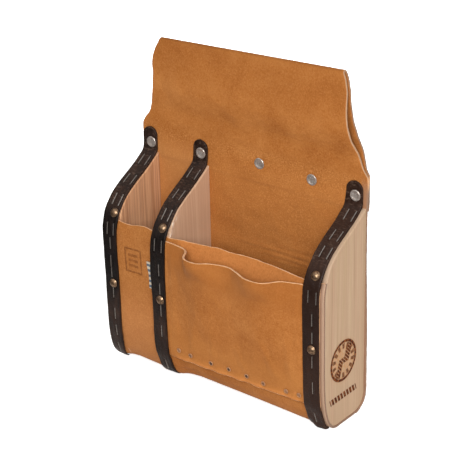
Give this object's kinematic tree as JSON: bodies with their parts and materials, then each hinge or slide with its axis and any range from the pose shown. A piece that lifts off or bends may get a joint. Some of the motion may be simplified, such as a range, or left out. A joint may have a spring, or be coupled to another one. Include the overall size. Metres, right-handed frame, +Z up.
{
  "type": "tool pouch",
  "caption": "Open-top belt tool pouch: softwood end and divider panels wrapped in suede, bellied front pocket, riveted edge straps and a folded belt loop.",
  "frame": {"origin": "middle of the flat underside of the leather base, half way between the outer faces of the end panels and half way through their depth", "axes": "+Z up towards the belt loop, -Y out of the front pocket, +X towards the right-hand end seen from the front"},
  "size_m": [0.2515, 0.0968, 0.3183],
  "materials": {
    "softwood": "raw sawn, lightly sanded",
    "suede": "napped split leather",
    "strap_leather": "dyed, semi-gloss",
    "nickel_steel": "nickel plated, worn",
    "antique_brass": "antiqued dome",
    "staple_wire": "galvanised",
    "woven_tape": "woven bands"
  },
  "bodies": {
    "case": {"left_side_panel": "softwood", "middle_divider_panel": "softwood", "right_side_panel": "softwood", "body_leather": "suede", "loop_end_flap": "suede", "front_pocket_leather": "suede", "left_edge_strap": "strap_leather", "middle_edge_strap": "strap_leather", "right_edge_strap": "strap_leather", "strap_rivets": "nickel_steel", "strap_rivet_back_caps": "nickel_steel", "loop_rivets": "nickel_steel", "loop_rivet_back_caps": "nickel_steel", "pocket_rivets": "nickel_steel", "pocket_rivet_burrs": "nickel_steel", "upper_dome_nails": "antique_brass", "lower_dome_nails": "antique_brass", "left_strap_staples": "staple_wire", "middle_strap_staples": "staple_wire", "right_strap_staples": "staple_wire", "back_staples": "staple_wire", "base_staples": "staple_wire", "woven_tab": "woven_tape"},
    "belt_loop": {"belt_loop_leather": "suede"}
  },
  "joints": [
    {"name": "loop_flex", "type": "hinge", "parent": "case", "child": "belt_loop", "pos_m": [0, 0.0336, 0.232], "axis": [1, 0, 0], "range_deg": [-75, 90], "stiffness_Nm_per_rad": 0.12}
  ]
}
